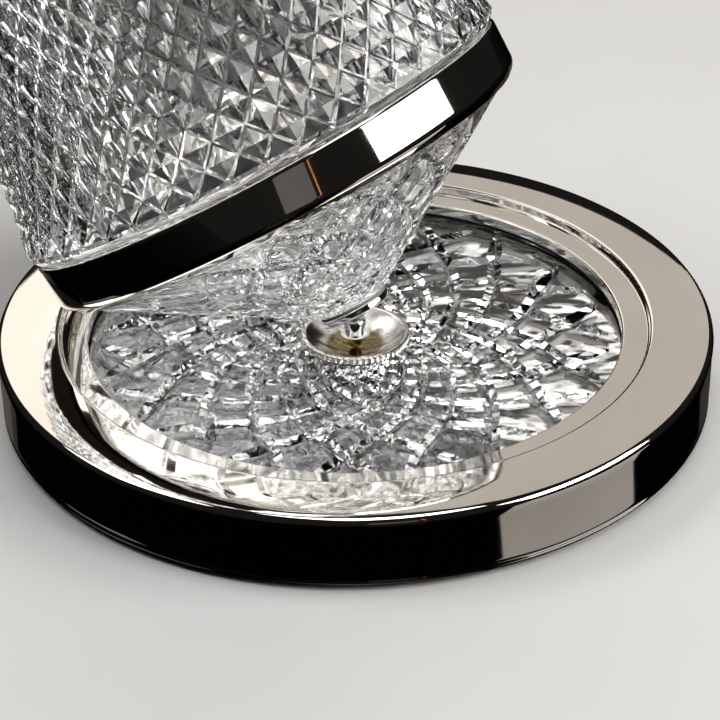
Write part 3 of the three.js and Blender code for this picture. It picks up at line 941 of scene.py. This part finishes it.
felt = moulded("felt", (0.008, 0.008, 0.009), (0.035, 0.035, 0.038), 0.95, 2600, 0.2)


# ---- Pieces on their bodies --------------------------------------------------------------------

def fit(piece, material, body, slot, *nodes):
    """Finishes a piece, puts it on its body and lets it stand for its CAD nodes."""
    piece.data.materials.append(material)
    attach(piece, body)
    if nodes:
        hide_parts(*nodes)


fit(tray_rim(), tray_nickel, "base", "polished_nickel", "tray_shell")
fit(crystal_plate(), tray_crystal, "base", "crystal", "crystal_plate")
fit(reeded_cup(), cup_nickel, "base", "polished_nickel", "pivot_cup")
fit(brass_tip(), tip_brass, "tip", "brass", "brass_tip")
fit(bell_ferrule(), pivot_chrome, "ferrule", "chrome", "bell_ferrule")
fit(ball_stud(), zinc_steel, "ferrule", "steel", "ball_stud")
fit(foot_flange(), foot_chrome, "decanter", "chrome", "foot_flange")
fit(glass_bottle(), decanter_crystal, "decanter", "crystal", "glass_bottle")
fit(waist_band(), decanter_nickel, "decanter", "polished_nickel", "waist_band")
fit(band_liner(), silicone, "decanter", "silicone", "band_liner")
fit(neck_collar(), decanter_nickel, "decanter", "polished_nickel", "neck_collar")
fit(stopper_cap(), decanter_nickel, "stopper", "polished_nickel", "stopper_cap")
fit(finial_saucer(), foot_chrome, "stopper", "chrome", "finial_saucer")
fit(crystal_finial(), decanter_crystal, "stopper", "crystal", "crystal_finial")
fit(finial_button(), decanter_nickel, "stopper", "polished_nickel", "finial_button")

KEPT_NODES = {
    felt: ["base_pad"],
    zinc_steel: ["cover_plate", "deck_plate", "cup_washer", "cup_nut", "finial_rod"]
    + [f"cover_screw_{i}" for i in (1, 2, 3, 4)],
    cast_iron: ["ballast_ring"],
    black_enamel: ["backing_disc"],
    black_rubber: ["plate_gasket", "cup_gasket"],
    acetal: ["ball_seat", "stopper_plug"],
    cement: ["foot_cement"],
    silicone: ["collar_liner", "seal_ring_1", "seal_ring_2", "seal_ring_3"],
}
for material, names in KEPT_NODES.items():
    for name in names:
        node = frame["nodes"][name]
        node.data.materials.clear()
        node.data.materials.append(material)


# ---- Studio ------------------------------------------------------------------------------------

AIM = Vector((0, 0, 0.07))  # metres, where the lights point
NEAR_WHITE = (1, 0.97, 0.93)
WARM_WHITE = (1, 0.93, 0.85)
WALL_GLOW = (0.72, 0.715, 0.705, 1)
GLASS_GAP = (0.24, 2.8, 1.3)  # metres, middle of the dark gap that the glass sees behind the tray
GAP_RADII = (0.36, 0.46)  # metres, where its edge starts and ends
LIT_RAYS = ("diffuse", "glossy", "transmission")  # the rays that may see a light


def disc(name, radius, height):
    surface = Surface()
    surface.run([(0, height), (radius / 8, height), (radius, height)], SMALL_ROUND)
    return surface.piece(name)


def pale_floor():
    """Plain floor that the camera sees, and that catches the shadows."""
    shader = Shader("pale_floor")
    mottle = shader.ranged(shader.noise(6), 0, 1)
    shader.set(
        Base_Color=shader.blend(mottle, (0.74, 0.735, 0.725), (0.79, 0.785, 0.775)),
        Roughness=0.55,
        Normal=shader.bump(shader.noise(700, 4), 0.05, 0.2),
        # Far off, where the lights no longer reach, the floor is kept as pale as the wall.
        Emission_Color=WALL_GLOW,
        Emission_Strength=shader.ranged(shader.from_axis(), 0, 0.8, 0.7, 1.8),
    )
    floor = disc("floor", 3000, -0.1)
    floor.data.materials.append(shader.material)
    # The metal and the glass see the dark table card below instead of this bright floor.
    floor.visible_glossy = False
    floor.visible_transmission = False


def table_card():
    """A dark, glossy table top that only reflections and refractions see."""
    shader = Shader("table_card")
    shader.set(Base_Color=(0.04, 0.038, 0.036, 1), Roughness=0.05, Metallic=1.0)
    card = disc("table_card", 900, -0.2)
    card.data.materials.append(shader.material)
    card.visible_camera = False
    card.visible_diffuse = False
    card.visible_shadow = False


def surround(name, radius, shader, seen_by):
    """A glowing dome all round, far off, that only one kind of ray sees."""
    shader.set(Base_Color=(0, 0, 0, 1), Emission_Color=WALL_GLOW)
    surface = Surface()
    surface.run(arc(0, -100, radius, 0, 89.9, 24), SMALL_ROUND)
    dome = surface.piece(name)
    dome.data.materials.append(shader.material)
    for ray in ("camera", "diffuse", "glossy", "transmission", "shadow", "volume_scatter"):
        setattr(dome, f"visible_{ray}", ray == seen_by)


def backdrop():
    """Pale wall for the camera, and a patchy one that gives the glass its dark and light facets."""
    wall = Shader("pale_wall")
    wall.set(Emission_Strength=1.0)
    surround("backdrop", 3200, wall, "camera")
    patches = Shader("patchy_wall")
    glow = patches.ranged(patches.noise(1.3, 1), 0.05, 2.3, 0.44, 0.56)
    gap = patches.ranged(patches.distance_from(GLASS_GAP), 0.03, 1, *GAP_RADII)
    patches.set(Emission_Strength=patches.product(glow, gap))
    surround("glass_surround", 3100, patches, "transmission")


def softbox(
    name, azimuth, elevation, distance, width, height, radiance, colour=(1, 1, 1), seen_by=LIT_RAYS
):
    """A soft light aimed at the object. Azimuth is measured from +X towards +Y, both in degrees."""
    light = bpy.data.lights.new(name, "AREA")
    light.shape = "RECTANGLE"
    light.size = width
    light.size_y = height
    light.energy = radiance * math.pi * width * height
    light.color = colour
    holder = bpy.data.objects.new(name, light)
    a, e = math.radians(azimuth), math.radians(elevation)
    back = Vector((math.cos(a) * math.cos(e), math.sin(a) * math.cos(e), math.sin(e)))
    holder.location = AIM + back * distance
    holder.rotation_euler = back.to_track_quat("Z", "Y").to_euler()
    holder.visible_camera = False
    for ray in LIT_RAYS:
        setattr(holder, f"visible_{ray}", ray in seen_by)
    bpy.context.scene.collection.objects.link(holder)


def studio():
    """Floor, walls, table card and lights, and a nearly black world beyond them."""
    pale_floor()
    backdrop()
    table_card()
    softbox("key_right", -17, 28, 1.3, 1.05, 0.62, 7, (1, 0.985, 0.96))
    softbox("back_wide", 92, 38, 1.5, 1.7, 1.15, 0.58, WARM_WHITE, ("diffuse", "glossy"))
    softbox("back_left", 109, 38, 1.5, 0.6, 1.15, 0.78, WARM_WHITE)
    softbox("glass_strip", 85, 32, 1.36, 0.4, 0.165, 4, NEAR_WHITE, ("transmission",))
    softbox("overhead", -60, 82, 1.5, 0.8, 0.8, 4)
    softbox("left_high", 170, 52, 1.5, 0.7, 0.7, 4)
    softbox("low_front", -80, 14, 1.5, 0.36, 0.3, 0.11, (1, 0.96, 0.92))
    softbox("warm_slit", -71, 20, 1.5, 0.01, 0.5, 1.1, (1, 0.32, 0.1))
    world = bpy.data.worlds.new("studio")
    bpy.context.scene.world = world
    world.use_nodes = True
    world.node_tree.nodes["Background"].inputs["Color"].default_value = (0.012, 0.011, 0.01, 1)


def camera():
    """A long lens close to the height that shows the plate under the leaning bottle."""
    elevation, roll = math.radians(31.07), math.radians(-0.94)
    target = Vector((0.0014, -0.0205, 0.0235))
    distance, focal = 1.1, 181.65
    back = Vector((0, -math.cos(elevation), math.sin(elevation)))
    level, up = Vector((1, 0, 0)), Vector((0, math.sin(elevation), math.cos(elevation)))
    right = level * math.cos(roll) + up * math.sin(roll)
    above = up * math.cos(roll) - level * math.sin(roll)
    lens = bpy.data.cameras.new("camera")
    lens.sensor_width = 36
    lens.lens = focal
    lens.clip_end = 20
    holder = bpy.data.objects.new("camera", lens)
    place = Matrix((right, above, back)).transposed().to_4x4()
    place.translation = target + back * distance
    holder.matrix_world = place
    bpy.context.scene.collection.objects.link(holder)
    bpy.context.scene.camera = holder


studio()
camera()

scene = bpy.context.scene
scene.cycles.max_bounces = 32
scene.cycles.transmission_bounces = 28
scene.cycles.glossy_bounces = 12
scene.cycles.caustics_reflective = False
scene.cycles.caustics_refractive = False
scene.view_settings.view_transform = "Standard"
